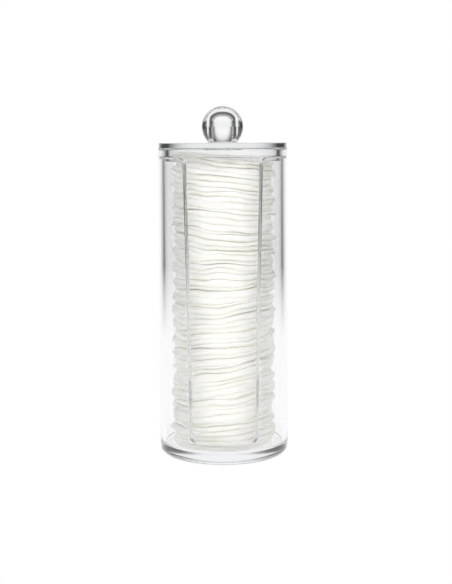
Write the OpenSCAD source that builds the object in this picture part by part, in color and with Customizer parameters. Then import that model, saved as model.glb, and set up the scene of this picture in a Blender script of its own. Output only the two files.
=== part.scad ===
// Cotton pad dispenser: a clear tube with a slot down its front, a flush lid with a ball knob,
// and a tall stack of round cotton pads. Millimetres, +Z up, base on z = 0, slot facing -Y.

/* [Pads] */
// Diameter of one cotton pad
pad_d = 58; // [50:0.5:75]
// How many pads are stacked in the tube
pad_count = 57; // [20:1:57]
// Air left between one pad and the next
pad_gap = 0.2; // [0.1:0.05:0.5]
// How far a pad lies off the middle of the tube
pad_sway = 1.4; // [0:0.1:2]
// How far a pad's edge wanders in and out
pad_ragged = 0.6; // [0:0.1:1]
// Width of the soft edge where a pad thins out
pad_edge_w = 2.2; // [1:0.1:5]
// How much the pads differ in thickness, as a share of one pad
pad_uneven = 0.1; // [0:0.01:0.2]
// Tilt of the pads low in the stack, at their right edge
lean_low = 4.4; // [0:0.1:6]
// Tilt of the pads high in the stack, at their left edge
lean_high = 3; // [0:0.1:5]
// Height of the wave that runs twice round a pad
ruffle_two = 0.5; // [0:0.05:0.8]
// Height of the wave that runs three times round a pad
ruffle_three = 0.35; // [0:0.05:0.6]

/* [Tube] */
// Height of the tube's rim above the table
body_h = 171; // [120:1:220]
// Thickness of the tube's wall
wall = 3.2; // [2:0.1:5]
// Thickness of the floor
floor_t = 6.2; // [4.6:0.1:10]
// Rounding where the wall turns under the foot
foot_r = 4; // [0.5:0.1:4.5]
// Rounding between the wall and the floor, inside
floor_fillet = 1.5; // [0.5:0.1:3]
// Rounding on both edges of the rim
rim_r = 0.8; // [0.2:0.1:0.9]

/* [Slot] */
// Width of the slot just above its lower corners
slot_foot_w = 38.2; // [25:0.1:42]
// Width of the slot where its sides start to open faster
slot_w = 41; // [25:0.1:46]
// Width of the slot just under its flared mouth
slot_mouth_w = 44.2; // [25:0.1:50]
// Length of the slot that opens faster towards the mouth
slot_taper_h = 66; // [20:1:80]
// Height of the sill above the floor inside
sill_rise = 6; // [3:0.1:20]
// Rounding of the slot's lower corners
slot_corner_r = 3; // [1:0.1:8]
// Rounding of the flared corners at the rim
flare_r = 4; // [1:0.1:8]

/* [Lid] */
// Thickness of the lid's plate
plate_t = 2.8; // [1.5:0.1:5]
// Height of the collar that stands on the rim
collar_h = 5.4; // [3:0.1:12]
// Thickness of the lip inside the tube
lip_t = 2.1; // [1:0.1:4]
// How far the lip drops into the tube
lip_h = 2.3; // [1:0.1:8]
// Free room between the lip and the tube
lip_gap = 0.4; // [0.3:0.05:1]
// Free room between the pads and the lip
pad_room = 0.5; // [0.4:0.1:4]
// Free room between the highest pad and the plate
head_room = 0.8; // [0.4:0.1:10]
// Rounding of the plate's upper edge
plate_edge_r = 0.6; // [0.2:0.1:1.2]
// Rounding between the collar and the plate, inside
recess_r = 1.5; // [0.3:0.1:2.5]
// Rounding of the lip's lower edges
lip_edge_r = 0.5; // [0.1:0.1:0.5]

/* [Knob] */
// Diameter of the ball
knob_d = 24.2; // [16:0.1:34]
// Height of the ball's middle above the lid
knob_rise = 9.2; // [6:0.1:16]
// Diameter of the ball's round seat on the lid
knob_seat_d = 17.4; // [10:0.1:24]
// Diameter of the hollow in the ball
core_d = 12; // [4:0.5:15]
// Height of the hollow's top above the ball's middle
core_rise = 7; // [2.5:0.1:10]

/* [Hidden] */
$fn = 96;
// Points round the outline of one pad
pad_sides = 24;
// Turn in degrees of the tilt's wave from the floor to the top of the stack
lean_turn = 310;
// Share of the stack over which the waves of the pads grow from the flat floor
ruffle_start = 0.12;
// Turns in degrees from one pad to the next, which keep neighbours from looking alike
sway_turn = 137.5;
least_sway_turn = 71;
uneven_turn = 97;
ragged_turn = 47;
two_turn = 19;
three_turn = 31;
// Least share of the sway that a pad has
least_sway = 0.4;
// Waves in and out along a pad's outline
ragged_waves = 5;
// How far a cut runs past the surface that it opens
cut_over = 1;
// Height by which the flare's circle passes the rim, so that it meets it at an angle
flare_over = 0.3;

pad_r = pad_d / 2;
stack_r = pad_r + pad_sway + pad_ragged;
lip_in_r = stack_r + pad_room;
lip_out_r = lip_in_r + lip_t;
bore_r = lip_out_r + lip_gap;
body_r = bore_r + wall;

sill_z = floor_t + sill_rise;
taper_z = body_h - slot_taper_h;
flare_z = body_h - flare_r + flare_over;

// Turn of the slot's right side about the axis, and how far its foot and mouth lie from that turned plane
slot_turn = asin(slot_w / 2 / body_r);
foot_aside = body_r * sin(asin(slot_foot_w / 2 / body_r) - slot_turn);
mouth_aside = body_r * sin(asin(slot_mouth_w / 2 / body_r) - slot_turn);

plate_z = body_h + collar_h;
lid_top = plate_z + plate_t;
lid_h = lip_h + collar_h + plate_t;

reach = stack_r / pad_r;
top_rise = reach * abs(lean(1)) + reach * reach * (ruffle_two + ruffle_three);
stack_h = plate_z - head_room - top_rise - floor_t;

clear_plastic = [0.84, 0.9, 0.93, 0.35];
cotton = [0.97, 0.96, 0.93];

function pad_name(k) = str("pad_", k < 10 ? "0" : "", k);

// Tilt of the stack at a share t of its height: up on the right below, down on the right above
function lean(t) = (lean_low + (lean_high - lean_low) * t) * sin(lean_turn * t);

// Count of pads below seam k, uneven because no two pads are equally thick
function uneven(k) = k + pad_uneven * sin(uneven_turn * k);

// Height of seam k in the middle of the stack
function seam_level(k) =
    floor_t + stack_h * uneven(k) / uneven(pad_count);

// Waves round the edge of seam k at the angle a
function ruffle(k, a) =
    ruffle_two * sin(2 * a + two_turn * k) + ruffle_three * sin(3 * a - three_turn * k);

// Height of seam k over the point p: its level, its tilt and its waves
function seam_z(k, p) =
    let (t = k / pad_count)
    let (q = norm(p) / pad_r)
    let (grown = min(1, t / ruffle_start))
    seam_level(k) + p.x / pad_r * lean(t) + grown * q * q * ruffle(k, atan2(p.y, p.x));

// Middle of pad k, off the axis by up to the sway
function pad_middle(k) =
    let (share = least_sway + (1 - least_sway) * abs(sin(least_sway_turn * k)))
    pad_sway * share * [cos(sway_turn * k), sin(sway_turn * k)];

// Outline of pad k, drawn in by the width w
function pad_ring(k, w) =
    [for (i = [0 : pad_sides - 1])
        let (a = 360 * i / pad_sides)
        let (r = pad_r - w + pad_ragged * sin(ragged_waves * a + ragged_turn * k))
        pad_middle(k) + r * [cos(a), sin(a)]];

// Undersides and tops of pad k over the point p, half a gap inside its two seams
function pad_under(k, p) = seam_z(k - 1, p) + (k == 1 ? 0 : pad_gap / 2);
function pad_over(k, p) = seam_z(k, p) - pad_gap / 2;

// What rounding the corner of a plane shape takes away, the corner lying at the origin
module corner_cut(r) {
    difference() {
        translate([-cut_over, -cut_over])
            square(r + cut_over);
        translate([r, r])
            circle(r);
    }
}

// Half section of the tube with its rounded foot, floor and rim
module container_profile() {
    difference() {
        square([body_r, body_h]);
        difference() {
            translate([-cut_over, floor_t])
                square([bore_r + cut_over, body_h]);
            translate([bore_r, floor_t])
                mirror([1, 0])
                    corner_cut(floor_fillet);
        }
        translate([body_r, 0])
            mirror([1, 0])
                corner_cut(foot_r);
        translate([body_r, body_h])
            rotate(180)
                corner_cut(rim_r);
        translate([bore_r, body_h])
            mirror([0, 1])
                corner_cut(rim_r);
    }
}

// One flared corner of the slot's mouth
module slot_flare() {
    difference() {
        translate([-slot_w / 2, flare_z])
            square([slot_w / 2 + mouth_aside + flare_r, flare_r + cut_over]);
        translate([mouth_aside + flare_r, flare_z])
            circle(flare_r);
    }
}

// Right half of the slot, seen along its own side: a round lower corner, two tapers and a flared mouth
module slot_half() {
    polygon([
        [-slot_w / 2, sill_z],
        [foot_aside - slot_corner_r, sill_z],
        [foot_aside, sill_z + slot_corner_r],
        [0, taper_z],
        [mouth_aside, flare_z],
        [-slot_w / 2, flare_z]
    ]);
    translate([foot_aside - slot_corner_r, sill_z + slot_corner_r])
        circle(slot_corner_r);
    slot_flare();
}

// Cut of the slot's right half, whose side runs square through the wall towards the axis
module slot_cut() {
    rotate([0, 0, slot_turn])
        rotate([90, 0, 0])
            linear_extrude(body_r + cut_over)
                slot_half();
}

module container() {
    color(clear_plastic)
        difference() {
            rotate_extrude()
                container_profile();
            slot_cut();
            mirror([1, 0, 0])
                slot_cut();
        }
}

// Half section of the lid, with the lower end of its lip at the origin's height
module lid_profile() {
    difference() {
        square([body_r, lid_h]);
        difference() {
            translate([-cut_over, -cut_over])
                square([lip_in_r + cut_over, lip_h + collar_h + cut_over]);
            translate([lip_in_r, lip_h + collar_h])
                rotate(180)
                    corner_cut(recess_r);
        }
        translate([lip_out_r, -cut_over])
            square([body_r, lip_h + cut_over]);
        translate([lip_in_r, 0])
            corner_cut(lip_edge_r);
        translate([lip_out_r, 0])
            mirror([1, 0])
                corner_cut(lip_edge_r);
        translate([body_r, lid_h])
            rotate(180)
                corner_cut(plate_edge_r);
    }
}

module lid() {
    color(clear_plastic)
        translate([0, 0, body_h - lip_h])
            rotate_extrude()
                lid_profile();
}

// Half section of the hollow ball on its round seat
module knob_profile() {
    intersection() {
        square([knob_d, 2 * knob_d]);
        difference() {
            union() {
                translate([0, knob_rise])
                    circle(knob_d / 2);
                square([knob_seat_d / 2, knob_rise]);
            }
            translate([-core_d / 2, -cut_over])
                square([core_d, knob_rise + core_rise - core_d / 2 + cut_over]);
            translate([0, knob_rise + core_rise - core_d / 2])
                circle(core_d / 2);
        }
    }
}

module knob() {
    color(clear_plastic)
        translate([0, 0, lid_top])
            rotate_extrude()
                knob_profile();
}

// One cotton pad: a soft disc between two seams, with four rings of points about its middle line
module pad(k) {
    n = pad_sides;
    inner = pad_ring(k, pad_edge_w);
    outer = pad_ring(k, 0);
    middle = pad_middle(k);
    points = concat(
        [[middle.x, middle.y, pad_under(k, middle)]],
        [for (p = inner) [p.x, p.y, pad_under(k, p)]],
        [for (p = outer) [p.x, p.y, (pad_under(k, p) + pad_over(k, p)) / 2]],
        [for (p = inner) [p.x, p.y, pad_over(k, p)]],
        [[middle.x, middle.y, pad_over(k, middle)]]
    );
    last = len(points) - 1;
    faces = concat(
        [for (i = [0 : n - 1]) [0, 1 + i, 1 + (i + 1) % n]],
        [for (ring = [0, 1], i = [0 : n - 1])
            let (low = 1 + ring * n, j = (i + 1) % n)
            [low + i, low + n + i, low + n + j]],
        [for (ring = [0, 1], i = [0 : n - 1])
            let (low = 1 + ring * n, j = (i + 1) % n)
            [low + i, low + n + j, low + j]],
        [for (i = [0 : n - 1]) [last, 1 + 2 * n + (i + 1) % n, 1 + 2 * n + i]]
    );
    color(cotton)
        polyhedron(points, faces);
}

container();
lid();
knob();
for (k = [1 : pad_count])
    pad(k);
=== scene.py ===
# %% [markdown]
# # A clear dispenser for cotton pads
# The object is a clear moulded tube with a slot down its front, a flush lid with a ball knob, and a tall
# stack of cotton pads. Its construction comes packed, at real size and in metres. This lesson gives every
# piece its finish: dense smooth shells for the clear plastic, because light bends at every facet, and soft
# ragged discs for the pads.

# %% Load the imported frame
import math

import bpy
import numpy as np
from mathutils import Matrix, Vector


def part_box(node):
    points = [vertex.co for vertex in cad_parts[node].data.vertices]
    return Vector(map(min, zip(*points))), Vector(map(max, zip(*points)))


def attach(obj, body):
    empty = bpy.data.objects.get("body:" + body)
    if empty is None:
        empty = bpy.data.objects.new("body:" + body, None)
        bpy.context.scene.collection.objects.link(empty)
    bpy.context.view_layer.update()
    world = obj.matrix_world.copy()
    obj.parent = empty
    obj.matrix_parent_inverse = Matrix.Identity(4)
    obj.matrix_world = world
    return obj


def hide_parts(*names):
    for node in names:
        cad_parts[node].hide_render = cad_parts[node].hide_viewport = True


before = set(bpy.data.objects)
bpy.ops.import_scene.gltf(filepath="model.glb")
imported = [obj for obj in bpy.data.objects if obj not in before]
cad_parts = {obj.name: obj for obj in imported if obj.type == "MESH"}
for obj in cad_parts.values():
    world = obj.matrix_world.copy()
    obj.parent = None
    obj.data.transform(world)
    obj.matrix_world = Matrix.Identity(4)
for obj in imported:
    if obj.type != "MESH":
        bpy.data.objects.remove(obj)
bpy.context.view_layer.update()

# %% [markdown]
# Sizes that the frame shows are read from it: the tube's radius, the rim, the lid's lip and top, and the
# top of the knob. The ball's radius and sizes that lie inside a piece, such as a wall or a fillet, are
# repeated here in millimetres.

# %% Sizes of the pieces
MM = 0.001
tube_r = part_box("container")[1].x
rim_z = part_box("container")[1].z
lip_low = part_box("lid")[0].z
lid_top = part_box("lid")[1].z
knob_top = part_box("knob")[1].z
knob_r = 12.1 * MM

wall_t = 3.2 * MM
floor_t = 6.2 * MM
foot_r = 4 * MM
floor_fillet = 1.5 * MM
rim_r = 0.8 * MM
slot_edge_r = 0.45 * MM
bore_r = tube_r - wall_t
print("tube radius", round(tube_r, 4), "rim", round(rim_z, 4), "lid top", round(lid_top, 4))

# %% [markdown]
# Every clear piece is one closed surface: a grid of points whose columns run once round the axis and whose
# rows run from one point on the axis to another. The normals are worked out with the points and stored in
# the mesh, so that a flat face next to a fine rounding stays optically flat.

# %% Helper: closed surfaces from a grid
def grid_quads(rows, columns):
    """Corner numbers of all quads of a grid that closes round its columns, seen from outside."""
    row, column = np.meshgrid(np.arange(rows - 1), np.arange(columns), indexing="ij")
    here = row * columns + column
    right = row * columns + (column + 1) % columns
    return np.stack([here, right, right + columns, here + columns], axis=-1).reshape(-1, 4)


def closed_surface(name, points, normals=None):
    """An object from a grid of points (rows, columns, xyz) whose first and last rows each lie in one point.

    The first and last row become one vertex each, with a fan of triangles to the row beside it.
    """
    rows, columns = points.shape[:2]
    inner = points[1:-1].reshape(-1, 3)
    vertices = np.concatenate([points[:1, 0], inner, points[-1:, 0]])
    quads = grid_quads(rows - 2, columns) + 1
    ring = np.arange(columns)
    after = (ring + 1) % columns
    last = len(vertices) - 1
    top_row = 1 + (rows - 3) * columns
    first_fan = np.stack([np.zeros(columns, int), 1 + after, 1 + ring], axis=-1)
    last_fan = np.stack([top_row + ring, top_row + after, np.full(columns, last)], axis=-1)
    mesh = bpy.data.meshes.new(name)
    mesh.from_pydata(vertices.tolist(), [], quads.tolist() + first_fan.tolist() + last_fan.tolist())
    mesh.shade_smooth()
    if normals is not None:
        flat = np.concatenate([normals[:1, 0], normals[1:-1].reshape(-1, 3), normals[-1:, 0]])
        flat /= np.linalg.norm(flat, axis=1, keepdims=True)
        mesh.normals_split_custom_set_from_vertices(flat.tolist())
    piece = bpy.data.objects.new(name, mesh)
    bpy.context.scene.collection.objects.link(piece)
    print(name, len(vertices), "points")
    return piece


def round_axis(angle, radius, height):
    """Points about the axis: an angle counted from the front (-Y) towards +X, a radius and a height."""
    x = radius * np.sin(angle)
    y = -radius * np.cos(angle)
    return np.stack(np.broadcast_arrays(x, y, height), axis=-1)


# %% [markdown]
# The tube is the hardest shape: a cup whose wall has a slot that is open at the rim. It could be a cup with
# a slot cut out, but a cut leaves sharp edges and uneven faces. Here the rim itself is the guide: one closed
# path that runs round the back of the rim, down one side of the slot, along the sill and up the other side.
# The wall is drawn as lines from the foot up to each point of that path, on the outside and again inside.

# %% The free edge of the tube
slot_foot_w = 38.2 * MM
slot_w = 41 * MM
slot_mouth_w = 44.2 * MM
slot_taper_h = 66 * MM
slot_corner_r = 3 * MM
flare_r = 4 * MM
sill_rise = 6 * MM
slot_taper_z = rim_z - slot_taper_h
sill_z = floor_t + sill_rise
SILL_POINTS = 22
CORNER_POINTS = 14
TAPER_POINTS = 60
SIDE_POINTS = 44
FLARE_POINTS = 16
RIM_POINTS = 56
FOOT_SILL_END = math.radians(30)
FOOT_SIDE_END = math.radians(105)


def steps(start, end, count):
    """Even steps from start towards end, without the end itself."""
    return start + (end - start) * np.arange(count) / count


def line(start, end, count):
    """Points from start towards end, evenly spaced, without the end itself."""
    share = np.arange(count)[:, None] / count
    return (1 - share) * np.array(start) + share * np.array(end)


def arc(centre, radius, start, end, count):
    """Points of a circle in a plane from one angle in degrees towards another, without the end itself."""
    angle = np.radians(steps(start, end, count))
    return np.array(centre) + radius * np.stack([np.cos(angle), np.sin(angle)], axis=-1)


def half_slot():
    """The right half of the slot's edge in x and z, from the middle of the sill to the rim."""
    foot = slot_foot_w / 2
    half = slot_w / 2
    mouth = slot_mouth_w / 2
    flare_z = rim_z - flare_r
    corner_x = foot - slot_corner_r
    corner_z = sill_z + slot_corner_r
    return np.concatenate([
        line((0, sill_z), (corner_x, sill_z), SILL_POINTS),
        arc((corner_x, corner_z), slot_corner_r, -90, 0, CORNER_POINTS),
        line((foot, corner_z), (half, slot_taper_z), TAPER_POINTS),
        line((half, slot_taper_z), (mouth, flare_z), SIDE_POINTS),
        arc((mouth + flare_r, flare_z), flare_r, 180, 90, FLARE_POINTS),
    ])


slot_edge = half_slot()
slot_count = len(slot_edge)


def half_edge():
    """Angle and height of the right half of the free edge.

    They are the same outside and inside, because the slot's sides run square through the wall. On the slot
    the angle is that whose sine is x over the tube's radius. Past the flare the edge follows the rim in even
    steps to the back.
    """
    x, z = slot_edge.T
    slot_angle = np.arcsin(x / tube_r)
    flare_end = np.arcsin((slot_mouth_w / 2 + flare_r) / tube_r)
    rim_angle = steps(flare_end, np.pi, RIM_POINTS)
    return np.concatenate([slot_angle, rim_angle]), np.concatenate([z, np.full(RIM_POINTS, rim_z)])


def all_round(half, back):
    """Values for the whole edge: the right half, the middle of the back, and the right half mirrored."""
    return np.concatenate([half, [back], half[:0:-1]])


def angles_all_round(half):
    """Angles for the whole edge: those of the left half go on to a full turn."""
    return np.concatenate([half, [np.pi], 2 * np.pi - half[:0:-1]])


def foot_angles():
    """The angle at the foot from which each line of the wall rises: even under sill, sides and rim each."""
    sill_count = SILL_POINTS + CORNER_POINTS
    return angles_all_round(np.concatenate([
        steps(0, FOOT_SILL_END, sill_count),
        steps(FOOT_SILL_END, FOOT_SIDE_END, slot_count - sill_count),
        steps(FOOT_SIDE_END, np.pi, RIM_POINTS),
    ]))


def edge_roundings():
    """The rounding of the edge at each point: fine along the slot, growing along the flare to the rim's."""
    growth = np.linspace(0, 1, FLARE_POINTS)
    half = np.concatenate([np.zeros(slot_count - FLARE_POINTS), growth, np.ones(RIM_POINTS)])
    return slot_edge_r + (rim_r - slot_edge_r) * all_round(half, 1)


foot_angle = foot_angles()
edge_r = edge_roundings()
print("free edge", len(foot_angle), "points")

# %% [markdown]
# The rounding of the edge is a conic: a curve with three control points, the end of the wall, the sharp
# corner and a point on the cut face. With the middle one weighted by the cosine of 45 degrees it is a true
# quarter circle where the faces meet squarely, and a fair oval where they don't.

# %% The tube's surface
WALL_ROWS = 56
ARC_ROWS = 7
DISC_ROWS = 6
FOOT_ROWS = 9
FILLET_ROWS = 7
NO_LENGTH = 1e-12
ON_FACE = 1e-7


def set_back(angle, height, radius, depth):
    """The free edge moved into the wall by a depth, square to the edge in the unrolled wall."""
    along = np.roll(angle, -1) - np.roll(angle, 1)
    along = (along + np.pi) % (2 * np.pi) - np.pi
    run = radius * along
    rise = np.roll(height, -1) - np.roll(height, 1)
    length = np.hypot(run, rise)
    return angle + depth * rise / length / radius, height - depth * run / length


def conic(first, corner, last, rows):
    """A rounded corner: rows of points from first to last, with the corner weighted by cos 45 degrees."""
    t = np.linspace(0, 1, rows)[:, None, None]
    first_pull = (1 - t) ** 2
    corner_pull = 2 * t * (1 - t) * math.cos(math.pi / 4)
    last_pull = t ** 2
    whole = first_pull + corner_pull + last_pull
    return (first_pull * first + corner_pull * corner + last_pull * last) / whole


def wall_rows(radius, foot_z, angle, height):
    """Lines from the foot to the set-back edge: angle and height both change evenly along each line."""
    share = np.linspace(0, 1, WALL_ROWS)[:, None]
    return round_axis(foot_angle + share * (angle - foot_angle), radius, foot_z + share * (height - foot_z))


def disc_rows(radius, height):
    """Rings from the axis out to a radius at one height, the first of them a point."""
    share = np.linspace(0, 1, DISC_ROWS)[:, None]
    return round_axis(foot_angle, radius * share, height)


def fillet_rows(radius, centre_r, centre_z, start, end, rows):
    """Rings of a fillet whose section is a circle, from one angle in degrees to another."""
    turn = np.radians(np.linspace(start, end, rows))[:, None]
    return round_axis(foot_angle, centre_r + radius * np.cos(turn), centre_z + radius * np.sin(turn))


def toward(start, end, distance):
    """The point at a distance from start on the way to end."""
    way = end - start
    return start + distance[:, None] * way / np.linalg.norm(way, axis=-1, keepdims=True)


def tube_surface():
    """All rows of the tube, from the middle of its underside over the rim to the middle of its floor."""
    half_angle, half_z = half_edge()
    angle = angles_all_round(half_angle)
    edge_z = all_round(half_z, rim_z)
    outer_corner = round_axis(angle, tube_r, edge_z)
    inner_corner = round_axis(angle, bore_r, edge_z)
    fillet_z = floor_t + floor_fillet
    outer_wall = wall_rows(tube_r, foot_r, *set_back(angle, edge_z, tube_r, edge_r))
    inner_wall = wall_rows(bore_r, fillet_z, *set_back(angle, edge_z, bore_r, edge_r))
    outer_face = toward(outer_corner, inner_corner, edge_r)
    inner_face = toward(inner_corner, outer_corner, edge_r)
    return np.concatenate([
        disc_rows(tube_r - foot_r, 0)[:-1],
        fillet_rows(foot_r, tube_r - foot_r, foot_r, -90, 0, FOOT_ROWS)[:-1],
        outer_wall[:-1],
        conic(outer_wall[-1], outer_corner, outer_face, ARC_ROWS),
        conic(inner_face, inner_corner, inner_wall[-1], ARC_ROWS)[:-1],
        inner_wall[::-1],
        fillet_rows(floor_fillet, bore_r - floor_fillet, fillet_z, 0, -90, FILLET_ROWS)[1:-1],
        disc_rows(bore_r - floor_fillet, floor_t)[::-1],
    ])


def surface_normals(points):
    """Normals of a grid: square to the way round it and to the mean of the steps along it on both sides."""
    round_step = np.roll(points, -1, axis=1) - np.roll(points, 1, axis=1)
    step = np.diff(points, axis=0)
    step /= np.maximum(np.linalg.norm(step, axis=-1, keepdims=True), NO_LENGTH)
    along = np.concatenate([step[:1], step[:-1] + step[1:], step[-1:]])
    normal = np.cross(round_step, along)
    return normal / np.maximum(np.linalg.norm(normal, axis=-1, keepdims=True), NO_LENGTH)


def tube_normals(points):
    """Normals of the tube: radial on the walls, upright on the flats, and from the grid on the roundings."""
    normal = surface_normals(points)
    radius = np.hypot(points[..., 0], points[..., 1])
    radial = points * np.array([1, 1, 0]) / np.maximum(radius, NO_LENGTH)[..., None]
    normal = np.where((abs(radius - tube_r) < ON_FACE)[..., None], radial, normal)
    normal = np.where((abs(radius - bore_r) < ON_FACE)[..., None], -radial, normal)
    normal = np.where((points[..., 2] < ON_FACE)[..., None], [0, 0, -1], normal)
    on_floor = (abs(points[..., 2] - floor_t) < ON_FACE) & (radius < bore_r - floor_fillet + ON_FACE)
    return np.where(on_floor[..., None], [0, 0, 1], normal)


tube_points = tube_surface()
tube = closed_surface("clear_tube", tube_points, tube_normals(tube_points))

# %% [markdown]
# The lid and the knob are round pieces: each is one outline carried round the axis. The outline is a list of
# corners with the radius of the rounding at each, so every edge catches a fine line of light.

# %% The lid
TURN_COLUMNS = 256
CORNER_ROWS = 8
RIM_GAP = 0.06 * MM
collar_h = 5.4 * MM
lip_gap = 0.4 * MM
lip_t = 2.1 * MM
recess_r = 1.5 * MM
lip_edge_r = 0.5 * MM
lip_root_r = 0.4 * MM
collar_edge_r = 0.7 * MM
plate_edge_r = 0.6 * MM
lid_plate_z = rim_z + collar_h
lip_out_r = bore_r - lip_gap
lip_in_r = lip_out_r - lip_t


def rounded_outline(corners):
    """Points and normals of an outline in radius and height, with a circle of its own radius at each corner.

    A corner is (radius, height, rounding). The circle touches both sides at the rounding times the tangent
    of half the turn. The normal of a side points to the right of the way along it.
    """
    place = np.array([corner[:2] for corner in corners], float)
    way = np.diff(place, axis=0)
    way /= np.linalg.norm(way, axis=1, keepdims=True)
    side = np.stack([way[:, 1], -way[:, 0]], axis=-1)
    points = [place[:1]]
    normals = [side[:1]]
    for i in range(1, len(corners) - 1):
        before, after, rounding = side[i - 1], side[i], corners[i][2]
        turn = math.atan2(before[0] * after[1] - before[1] * after[0], before @ after)
        start = place[i] - way[i - 1] * rounding * math.tan(abs(turn) / 2)
        angle = np.linspace(0, turn, CORNER_ROWS)[:, None]
        normal = np.cos(angle) * before + np.sin(angle) * np.array([-before[1], before[0]])
        points.append(start + math.copysign(rounding, turn) * (normal - before))
        normals.append(normal)
    return np.concatenate(points + [place[-1:]]), np.concatenate(normals + [side[-1:]])


def turned(name, outline, normals):
    """A piece turned about the axis from an outline that starts and ends on the axis."""
    angle = np.linspace(0, 2 * np.pi, TURN_COLUMNS, endpoint=False)
    points = round_axis(angle, outline[:, :1], outline[:, 1:])
    return closed_surface(name, points, round_axis(angle, normals[:, :1], normals[:, 1:]))


lid = turned("clear_lid", *rounded_outline([
    (0, lid_plate_z, 0),
    (lip_in_r, lid_plate_z, recess_r),
    (lip_in_r, lip_low, lip_edge_r),
    (lip_out_r, lip_low, lip_edge_r),
    (lip_out_r, rim_z + RIM_GAP, lip_root_r),
    (tube_r, rim_z + RIM_GAP, collar_edge_r),
    (tube_r, lid_top, plate_edge_r),
    (0, lid_top, 0),
]))

# %% [markdown]
# The knob is a hollow ball. Its hollow is a round pocket with a domed end, closed below by the lid's plate.
# The photo shows a full shoulder on that dome, so its section is an oval that is squarer than an ellipse.
# The ball is bonded on, so its seat reaches a hair into the plate and no film of air shows between them.

# %% The knob
BOND = 0.03 * MM
DOME_POWER = 2.2
DOME_ROWS = 33
BALL_ROWS = 65
seat_r = 8.7 * MM
seat_edge_r = 0.2 * MM
side_h = 0.5 * MM
core_r = 6 * MM
core_rise = 7 * MM
dome_rise = 5 * MM
knob_middle = knob_top - knob_r
dome_z = knob_middle + core_rise - dome_rise


def full_dome():
    """Section of the dome from its top to its side, and its outward normals.

    The share of the radius and the share of the rise, each to the dome's power, add up to one.
    """
    turn = np.radians(np.linspace(90, 0, DOME_ROWS))[:, None]
    across = np.cos(turn).clip(0)
    up = np.sin(turn).clip(0)
    power = 2 / DOME_POWER
    points = np.concatenate([core_r * across ** power, dome_rise * up ** power], axis=1)
    slope = 2 - power
    normals = np.concatenate([across ** slope / core_r, up ** slope / dome_rise], axis=1)
    return points, normals / np.linalg.norm(normals, axis=1, keepdims=True)


def knob_outline():
    """The pocket's outline from the top of its dome down to the seat, then the ball's up to its top."""
    dome_round, dome_normals = full_dome()
    ball_foot = -math.acos(seat_r / knob_r)
    ball = np.linspace(ball_foot, math.pi / 2, BALL_ROWS)[:, None]
    ball_round = np.concatenate([np.cos(ball), np.sin(ball)], axis=1)
    foot, foot_normals = rounded_outline([
        (core_r, dome_z - side_h, 0),
        (core_r, lid_top - BOND, seat_edge_r),
        (seat_r, lid_top - BOND, seat_edge_r),
        (seat_r, lid_top + side_h, 0),
    ])
    points = np.concatenate([[0, dome_z] + dome_round, foot, [0, knob_middle] + knob_r * ball_round])
    return points, np.concatenate([-dome_normals, foot_normals, ball_round])


knob = turned("clear_knob", *knob_outline())

# %% [markdown]
# A cotton pad is a soft disc with a rounded, ragged edge. Fifty-seven of them lie on each other, each a
# little off the middle, and the stack leans: up on the right below, down on the right above. Two neighbours
# share one seam, a wavy surface, so that they nest as pressed cotton does. The seam's formula is that of the
# solids, with finer waves and fluff on top.

# %% The seams between the pads
pad_names = sorted(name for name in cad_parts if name.startswith("pad_"))
PAD_COUNT = len(pad_names)
pad_r = 29 * MM
pad_sway = 1.4 * MM
pad_ragged = 0.6 * MM
pad_uneven = 0.1
pad_edge_w = 2.2 * MM
pad_gap = 0.2 * MM
head_room = 0.8 * MM
lean_low = 4.4 * MM
lean_high = 3 * MM
lean_turn = 310
ruffle_two = 0.5 * MM
ruffle_three = 0.35 * MM
ruffle_start = 0.12
two_turn = 19
three_turn = 31
uneven_turn = 97
FLOOR_AIR = 0.06 * MM


def lean(t):
    """Tilt at a share t of the stack's height: a sine over 310 degrees whose size changes with height."""
    return (lean_low + (lean_high - lean_low) * t) * np.sin(np.radians(lean_turn * t))


reach = (pad_r + pad_sway + pad_ragged) / pad_r
wave_room = reach ** 2 * (ruffle_two + ruffle_three)
stack_h = lid_plate_z - head_room - reach * abs(lean(1)) - wave_room - floor_t


def uneven(k):
    """Count of pads below seam k, uneven because no two pads are equally thick."""
    return k + pad_uneven * np.sin(np.radians(uneven_turn * k))


SEED = 20
SHIFT_MM = 0.6
OPEN_LEAST = 0.4
OPEN_POWER = 1.2
PHASE_DRIFT = 1.3
CREASE_LEAST = 0.12
CREASE_GROWTH = 1.4
CLING = 0.1
WAVE_TURNS = np.array([4, 6, 7, 10, 13])[:, None, None]
WAVE_SIZE = np.array([0.34, 0.3, 0.28, 0.18, 0.12]) * MM
SEAM_COUNT = PAD_COUNT + 1

chance = np.random.default_rng(SEED)
seam_shift = chance.uniform(-SHIFT_MM, SHIFT_MM, SEAM_COUNT) * MM
seam_shift[[0, PAD_COUNT]] = 0
seam_open = chance.uniform(OPEN_LEAST, 1, SEAM_COUNT) ** OPEN_POWER
phase_step = chance.uniform(-PHASE_DRIFT, PHASE_DRIFT, (SEAM_COUNT, len(WAVE_TURNS)))
wave_phase = np.cumsum(phase_step, axis=0)
print(SEAM_COUNT, "seams")


def fine_waves(k, out, angle):
    """Creases of seam k: five waves round the pad whose phase drifts from seam to seam, growing outwards."""
    phase = wave_phase[k][:, None, None]
    waves = np.sin(WAVE_TURNS * angle + phase)
    return out * np.tensordot(WAVE_SIZE, waves, axes=1)


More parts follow.
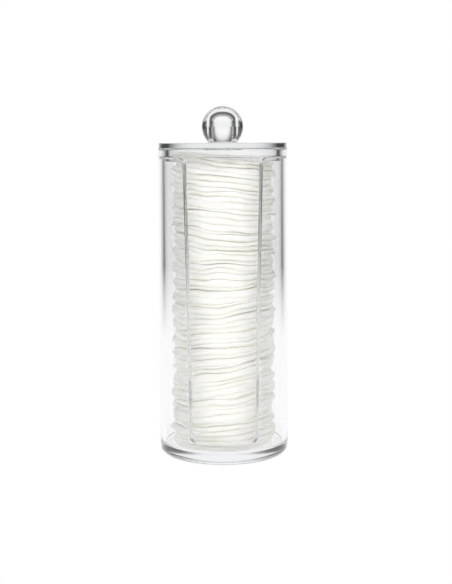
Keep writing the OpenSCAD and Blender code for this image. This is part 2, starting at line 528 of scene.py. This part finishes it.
def seam_z(k, x, y):
    """Height of seam k: its level, its tilt along x, and waves that grow outwards.

    Two of the waves, twice and three times round, are those of the solids. The fine waves come on top.
    """
    t = k / PAD_COUNT
    out = (x ** 2 + y ** 2) / pad_r ** 2
    angle = np.arctan2(y, x)
    two = ruffle_two * np.sin(2 * angle + np.radians(two_turn * k))
    three = ruffle_three * np.sin(3 * angle - np.radians(three_turn * k))
    level = floor_t + stack_h * uneven(k) / uneven(PAD_COUNT) + seam_shift[k]
    rise = min(1, t / ruffle_start)
    return level + x / pad_r * lean(t) + rise * (out * (two + three) + fine_waves(k, out, angle))


def crease_w(k, angle):
    """How far seam k opens at the edge, changing round it: narrow where pads cling, wide where they part."""
    sway = 0.5 + 0.5 * np.sin(2 * angle + wave_phase[k, 0]) * np.sin(3 * angle + wave_phase[k, 1])
    return pad_edge_w * (CREASE_LEAST + CREASE_GROWTH * seam_open[k] * sway)


def half_gap(k):
    """Half the air in seam k: almost none where two pads cling."""
    return 0.5 * pad_gap * (CLING + (1 - CLING) * seam_open[k])


# %% [markdown]
# Each pad is drawn like the clear pieces, as a closed grid, but it lies between two seams. Its edge is a
# circle with slow waves and random fluff, and its middle is set aside by a different way for every pad.

# %% The pads
PAD_COLUMNS = 144
FACE_ROWS = 8
EDGE_ROWS = 13
PRESSED = 0.55
FLUFF_TURNS = np.array([9, 14, 23, 37])
FLUFF_SIZE = np.array([0.16, 0.12, 0.08, 0.05])[:, None] * MM
ragged_waves = 5
ragged_turn = 47
sway_turn = 137.5
least_sway = 0.4
least_sway_turn = 71


def pad_outline(k, angle):
    """Radius of pad k's edge: its round form, five slow waves, and finer fluff of random phase."""
    slow = pad_ragged * np.sin(ragged_waves * angle + np.radians(ragged_turn * k))
    phase = chance.uniform(0, 2 * np.pi, (len(FLUFF_TURNS), 1))
    return pad_r + slow + (FLUFF_SIZE * np.sin(FLUFF_TURNS[:, None] * angle + phase)).sum(axis=0)


def pad_middle(k):
    """Where the middle of pad k lies: a golden-angle turn from pad to pad, at a changing distance."""
    share = least_sway + (1 - least_sway) * abs(math.sin(math.radians(least_sway_turn * k)))
    turn = math.radians(sway_turn * k)
    return pad_sway * share * np.array([math.cos(turn), math.sin(turn)])


def pad_surface(k):
    """Rows of pad k from the middle of its underside, round its edge, to the middle of its top.

    On the faces the height is that of the seams. Round the edge the height goes with the sine of the turn
    from the underside to the top. The radius shrinks away from the middle of the edge by a mean of half an
    oval and a plain wedge, because the pressed edge of a pad is thinner than a round one.
    """
    middle = pad_middle(k)
    angle = np.linspace(0, 2 * np.pi, PAD_COLUMNS, endpoint=False)
    edge = pad_outline(k, angle)
    face = np.linspace(0, 1, FACE_ROWS)[:-1, None]
    turn = np.radians(np.linspace(-90, 90, EDGE_ROWS))[:, None]
    under_w = crease_w(k - 1, angle)
    over_w = crease_w(k, angle)
    crease = np.where(turn < 0, under_w, over_w)
    radius = np.concatenate([
        face * (edge - under_w),
        edge - crease * (PRESSED * abs(np.sin(turn)) + (1 - PRESSED) * (1 - np.cos(turn))),
        face[::-1] * (edge - over_w),
    ])
    flat = np.ones_like(face)
    height = np.concatenate([-flat, np.sin(turn), flat])
    x = middle[0] + radius * np.cos(angle)
    y = middle[1] + radius * np.sin(angle)
    under = seam_z(k - 1, x, y) + (half_gap(k - 1) if k > 1 else FLOOR_AIR)
    over = seam_z(k, x, y) - half_gap(k)
    return np.stack([x, y, (under + over) / 2 + height * (over - under) / 2], axis=-1)


pads = [closed_surface(f"cotton_{name}", pad_surface(i + 1)) for i, name in enumerate(pad_names)]
print(len(pads), "pads")

# %% [markdown]
# Clear moulded plastic is a dielectric: it shows only by what it bends and mirrors. Light passes through it
# with a refractive index of about 1.5, and a long way through it turns faintly blue-grey. Moulding leaves a
# very slow waviness, which comes from a bump so weak that it only makes the lines in the plastic live.

# %% Helper: shader nodes
NOISE_LOW = 0.3
NOISE_HIGH = 0.7


def shader(name):
    """A new material with its node tree, its Principled shader and its output."""
    material = bpy.data.materials.new(name)
    material.use_nodes = True
    nodes = material.node_tree.nodes
    nodes.clear()
    principled = nodes.new("ShaderNodeBsdfPrincipled")
    output = nodes.new("ShaderNodeOutputMaterial")
    material.node_tree.links.new(principled.outputs["BSDF"], output.inputs["Surface"])
    return material, nodes, material.node_tree.links, principled, output


def map_range(nodes, links, source, low, high, first=0.0, last=1.0):
    """A value that goes from first where the source is low to last where it is high, and no further."""
    ranged = nodes.new("ShaderNodeMapRange")
    ranged.inputs["From Min"].default_value = low
    ranged.inputs["From Max"].default_value = high
    ranged.inputs["To Min"].default_value = first
    ranged.inputs["To Max"].default_value = last
    links.new(source, ranged.inputs["Value"])
    return ranged.outputs["Result"]


def noise(nodes, links, scale, detail=3.0, stretch=1.0):
    """A noise on Object coordinates, in lumps per metre of height, drawn out level by a stretch."""
    place = nodes.new("ShaderNodeTexCoord")
    drawn = nodes.new("ShaderNodeVectorMath")
    drawn.operation = "MULTIPLY"
    drawn.inputs[1].default_value = (1 / stretch, 1 / stretch, 1)
    links.new(place.outputs["Object"], drawn.inputs[0])
    texture = nodes.new("ShaderNodeTexNoise")
    texture.inputs["Scale"].default_value = scale
    texture.inputs["Detail"].default_value = detail
    links.new(drawn.outputs["Vector"], texture.inputs["Vector"])
    return texture.outputs["Fac"]


def spread(nodes, links, source, first, last):
    """The usual range of a noise, from 0.3 to 0.7, spread over another range."""
    return map_range(nodes, links, source, NOISE_LOW, NOISE_HIGH, first, last)


def bump(nodes, links, height, strength, distance):
    """A bump of a height that is worth a distance, at a strength."""
    bumped = nodes.new("ShaderNodeBump")
    bumped.inputs["Strength"].default_value = strength
    bumped.inputs["Distance"].default_value = distance
    links.new(height, bumped.inputs["Height"])
    return bumped


# %% Clear plastic
SCUFF_FROM = 0.4 * MM
SCUFF_FULL = 0.1 * MM
SCUFF_ROUGH = 0.08
POLISH_ROUGH = 0.012
WAVINESS = 0.005
WAVE_DEPTH = 0.4 * MM


def clear_plastic(name, depth_density):
    """Polished clear plastic with a faint blue-grey depth, a slow waviness and a scuffed standing face."""
    material, nodes, links, principled, output = shader(name)
    principled.inputs["Base Color"].default_value = (0.994, 0.997, 0.998, 1)
    principled.inputs["IOR"].default_value = 1.5
    principled.inputs["Transmission Weight"].default_value = 1
    polish = spread(nodes, links, noise(nodes, links, scale=40), 0.0, POLISH_ROUGH)
    place = nodes.new("ShaderNodeTexCoord")
    split = nodes.new("ShaderNodeSeparateXYZ")
    links.new(place.outputs["Object"], split.inputs["Vector"])
    scuffed = map_range(nodes, links, split.outputs["Z"], SCUFF_FROM, SCUFF_FULL, 0.0, SCUFF_ROUGH)
    rough = nodes.new("ShaderNodeMath")
    rough.operation = "ADD"
    links.new(polish, rough.inputs[0])
    links.new(scuffed, rough.inputs[1])
    links.new(rough.outputs["Value"], principled.inputs["Roughness"])
    waves = bump(nodes, links, noise(nodes, links, scale=55, detail=1.0), WAVINESS, WAVE_DEPTH)
    links.new(waves.outputs["Normal"], principled.inputs["Normal"])
    depth = nodes.new("ShaderNodeVolumeAbsorption")
    depth.inputs["Color"].default_value = (0.88, 0.89, 0.895, 1)
    depth.inputs["Density"].default_value = depth_density
    links.new(depth.outputs["Volume"], output.inputs["Volume"])
    return material


tube_plastic = clear_plastic("clear_tube_plastic", depth_density=9)
lid_plastic = clear_plastic("clear_lid_plastic", depth_density=16)
print("clear plastic for the tube and the lid")

# %% [markdown]
# Cotton is white and matt, and each fibre scatters the light of its neighbours, so the creases between pads
# glow warm and never turn black. A little subsurface light gives that glow and a fine noise gives the fluff.
# A pad is carded in thin layers, which show at its edge as fine level lines: a noise drawn out sideways
# gives them.

# %% Cotton
RIDGE_DEPTH = 0.6 * MM
FLUFF_DEPTH = 0.25 * MM


def cotton_wool(name):
    """Soft white cotton with fluff, level layers and light that wanders under its surface."""
    material, nodes, links, principled, _ = shader(name)
    layers = noise(nodes, links, scale=620, stretch=9)
    tint = nodes.new("ShaderNodeMix")
    tint.data_type = "RGBA"
    tint.inputs["A"].default_value = (0.93, 0.925, 0.855, 1)
    tint.inputs["B"].default_value = (0.985, 0.983, 0.965, 1)
    links.new(spread(nodes, links, layers, 0, 1), tint.inputs["Factor"])
    links.new(tint.outputs["Result"], principled.inputs["Base Color"])
    links.new(spread(nodes, links, layers, 0.85, 1.0), principled.inputs["Roughness"])
    principled.inputs["Specular IOR Level"].default_value = 0.15
    principled.inputs["Subsurface Weight"].default_value = 0.35
    principled.inputs["Subsurface Radius"].default_value = (1.0, 0.95, 0.8)
    principled.inputs["Subsurface Scale"].default_value = 0.8 * MM
    principled.inputs["Sheen Weight"].default_value = 0.15
    ridges = bump(nodes, links, layers, 0.7, RIDGE_DEPTH)
    fluff = bump(nodes, links, noise(nodes, links, scale=1800, detail=5.0), 0.5, FLUFF_DEPTH)
    links.new(ridges.outputs["Normal"], fluff.inputs["Normal"])
    links.new(fluff.outputs["Normal"], principled.inputs["Normal"])
    return material


cotton = cotton_wool("cotton_wool")
print("cotton")

# %% [markdown]
# Each piece now stands for its solid and rides on that solid's body, so the lid and the knob lift together
# and the pads stay in the tube.

# %% Place the pieces on their bodies
def dress(piece, node, body, material):
    """Gives a piece its material, and lets it stand for a solid on that solid's body."""
    piece.data.materials.append(material)
    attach(piece, body)
    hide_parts(node)


dress(tube, "container", "container", tube_plastic)
dress(lid, "lid", "lid", lid_plastic)
dress(knob, "knob", "lid", lid_plastic)
for pad, name in zip(pads, pad_names):
    dress(pad, name, "container", cotton)

# %% [markdown]
# The studio is a pale floor with a white wall behind it. Clear plastic on white would vanish, so the wall
# stands in a dark ring, which the tube bends into its edges as fine grey lines. What the plastic mirrors is
# a light of its own: a room that is dark low down, which makes the lines of the slot. Matt cotton would lie
# in shade there, so a third light, bright from all sides, falls on it, with more from overhead where the
# cotton is under plastic. This is no real room: each kind of ray meets its own light.

# %% Helper: studio lights
# A field is a list of angles from +Y, the middle of the wall, in degrees, and the brightness at each.
FRONT_LIGHT = [(84, 1.95), (115, 1.95), (140, 0.99), (180, 0.88)]
LOW_BACK = [(0, 1.0), (18, 0.98), (26, 0.86), (34, 0.55), (40, 0.26), (45, 0.07), (62, 0.06)]
HIGH_BACK = [(0, 1.0), (12, 0.97), (20, 0.8), (27, 0.35), (34, 0.12), (45, 0.06), (62, 0.06)]
LOW_SEEN = LOW_BACK + [(74, 0.5)] + FRONT_LIGHT
HIGH_SEEN = HIGH_BACK + [(74, 0.5)] + FRONT_LIGHT
LOW_MIRRORED = LOW_BACK + [(112, 0.1), (180, 0.12)]
HIGH_MIRRORED = HIGH_BACK + [(74, 0.5), (84, 1.0), (115, 1.0), (140, 0.96), (180, 0.9)]
MATT_FIELD = [(0, 1.25), (62, 1.1)] + FRONT_LIGHT
HALF_TURN = 180


def side_fields(nodes, links, direction, field):
    """Brightness by the angle between +Y and a direction, from a list of degrees and values.

    The angle is the arc cosine of y over the direction's length, as a share of half a turn.
    """
    unit = nodes.new("ShaderNodeVectorMath")
    unit.operation = "NORMALIZE"
    links.new(direction, unit.inputs[0])
    split = nodes.new("ShaderNodeSeparateXYZ")
    links.new(unit.outputs["Vector"], split.inputs["Vector"])
    angle = nodes.new("ShaderNodeMath")
    angle.operation = "ARCCOSINE"
    links.new(split.outputs["Y"], angle.inputs[0])
    ramp = nodes.new("ShaderNodeValToRGB")
    stops = ramp.color_ramp.elements
    for i, (degrees, value) in enumerate(field):
        stop = stops[i] if i < 2 else stops.new(degrees / HALF_TURN)
        stop.position = degrees / HALF_TURN
        stop.color = (value, value, value, 1)
    links.new(map_range(nodes, links, angle.outputs["Value"], 0, math.pi), ramp.inputs["Fac"])
    return ramp.outputs["Color"]


def blend(nodes, links, share, first, second):
    """The first light where the share is 0 and the second where it is 1; the second may be an even grey."""
    light = nodes.new("ShaderNodeMix")
    light.data_type = "RGBA"
    links.new(share, light.inputs["Factor"])
    links.new(first, light.inputs["A"])
    if isinstance(second, float):
        light.inputs["B"].default_value = (second, second, second, 1)
    else:
        links.new(second, light.inputs["B"])
    return light.outputs["Result"]


def studio_light(nodes, links, seen, mirrored, matt):
    """White for the camera, and a light each for what shows through plastic, in it, and on matt surfaces."""
    path = nodes.new("ShaderNodeLightPath")
    through = nodes.new("ShaderNodeMath")
    through.operation = "ADD"
    links.new(path.outputs["Glossy Depth"], through.inputs[0])
    links.new(path.outputs["Transmission Depth"], through.inputs[1])
    on_plastic = map_range(nodes, links, through.outputs["Value"], 0, 1)
    in_mirror = map_range(nodes, links, path.outputs["Glossy Depth"], 0, 1)
    on_matt = map_range(nodes, links, path.outputs["Diffuse Depth"], 0, 1)
    light = blend(nodes, links, in_mirror, seen, mirrored)
    light = blend(nodes, links, on_plastic, matt, light)
    light = blend(nodes, links, on_matt, light, matt)
    return blend(nodes, links, path.outputs["Is Camera Ray"], light, 1.0)


# %% Floor
FLOOR_GAP = 0.05 * MM
FLOOR_HALF = 6.0
NEAR_WITHIN = 0.4
NEAR_OVER = 1.0
NEAR_FLOOR = 0.97
NEAR_MATT = 1.05


def pale_floor():
    """A wide glowing plane just under the foot: pale near the object, and like the low wall further off."""
    corners = FLOOR_HALF * np.array([[-1, -1], [1, -1], [1, 1], [-1, 1]])
    mesh = bpy.data.meshes.new("floor")
    mesh.from_pydata([(x, y, -FLOOR_GAP) for x, y in corners], [], [(0, 1, 2, 3)])
    floor = bpy.data.objects.new("floor", mesh)
    bpy.context.scene.collection.objects.link(floor)
    material = bpy.data.materials.new("pale_floor")
    material.use_nodes = True
    nodes = material.node_tree.nodes
    nodes.clear()
    links = material.node_tree.links
    place = nodes.new("ShaderNodeTexCoord")
    away = nodes.new("ShaderNodeVectorMath")
    away.operation = "LENGTH"
    links.new(place.outputs["Object"], away.inputs[0])
    near = map_range(nodes, links, away.outputs["Value"], NEAR_OVER, NEAR_WITHIN)
    lights = []
    for field, level in ((LOW_SEEN, NEAR_FLOOR), (LOW_MIRRORED, NEAR_FLOOR), (MATT_FIELD, NEAR_MATT)):
        far_light = side_fields(nodes, links, place.outputs["Object"], field)
        lights.append(blend(nodes, links, near, far_light, level))
    glow = nodes.new("ShaderNodeEmission")
    links.new(studio_light(nodes, links, *lights), glow.inputs["Color"])
    output = nodes.new("ShaderNodeOutputMaterial")
    links.new(glow.outputs["Emission"], output.inputs["Surface"])
    mesh.materials.append(material)


pale_floor()
print("floor")

# %% Studio
HIGH_FROM = 0.012
CEILING_FROM = 0.68
CEILING_FULL = 0.9
OPEN_CEILING = 0.15
COVERED_CEILING = 1.4
CLEAR_BOUNCES = 80


def studio_world():
    """The white wall in its dark ring, the room in the mirror, and the light on matt surfaces."""
    world = bpy.data.worlds.new("studio")
    bpy.context.scene.world = world
    world.use_nodes = True
    nodes, links = world.node_tree.nodes, world.node_tree.links
    nodes.clear()
    place = nodes.new("ShaderNodeTexCoord")
    split = nodes.new("ShaderNodeSeparateXYZ")
    links.new(place.outputs["Generated"], split.inputs["Vector"])
    low_seen, high_seen, low_mirrored, high_mirrored, matt_sides = [
        side_fields(nodes, links, place.outputs["Generated"], field)
        for field in (LOW_SEEN, HIGH_SEEN, LOW_MIRRORED, HIGH_MIRRORED, MATT_FIELD)
    ]
    high = map_range(nodes, links, split.outputs["Z"], 0.0, HIGH_FROM)
    seen = blend(nodes, links, high, low_seen, high_seen)
    mirrored = blend(nodes, links, high, low_mirrored, high_mirrored)
    path = nodes.new("ShaderNodeLightPath")
    covered = path.outputs["Transmission Depth"]
    ceiling = map_range(nodes, links, covered, 0, 1, OPEN_CEILING, COVERED_CEILING)
    overhead = map_range(nodes, links, split.outputs["Z"], CEILING_FROM, CEILING_FULL)
    matt = blend(nodes, links, overhead, matt_sides, ceiling)
    background = nodes.new("ShaderNodeBackground")
    links.new(studio_light(nodes, links, seen, mirrored, matt), background.inputs["Color"])
    output = nodes.new("ShaderNodeOutputWorld")
    links.new(background.outputs["Background"], output.inputs["Surface"])


studio_world()
scene = bpy.context.scene
scene.view_settings.view_transform = "Standard"
scene.cycles.use_denoising = True
scene.cycles.max_bounces = CLEAR_BOUNCES
scene.cycles.transmission_bounces = CLEAR_BOUNCES
scene.cycles.glossy_bounces = CLEAR_BOUNCES
scene.cycles.diffuse_bounces = 6
print("studio")

# %% [markdown]
# The camera stands level with the lid, so the plate shows as one thin band and the foot as a wide ellipse. A
# lens shift keeps the tube upright in the frame, and a small tilt does the rest.

# %% Camera
IMAGE_H = 584
SENSOR_W = 36
focal_px = 1118
view_distance = 0.648
horizon_px = 149.2
shift_px = 96
aside_px = 3.4
roll = math.radians(0.3)


def main_camera():
    """A camera on -Y at the lid's height: the tilt makes up what the shift leaves of the horizon's place."""
    data = bpy.data.cameras.new("camera")
    data.sensor_width = SENSOR_W
    data.lens = data.sensor_width * focal_px / IMAGE_H
    data.shift_x = aside_px / IMAGE_H
    data.shift_y = -shift_px / IMAGE_H
    camera = bpy.data.objects.new("camera", data)
    bpy.context.scene.collection.objects.link(camera)
    tilt = math.atan((horizon_px - shift_px) / focal_px)
    camera.location = (0, -view_distance, lid_top)
    camera.rotation_euler = (math.pi / 2 - tilt, roll, 0)
    bpy.context.scene.camera = camera


main_camera()
print("camera")
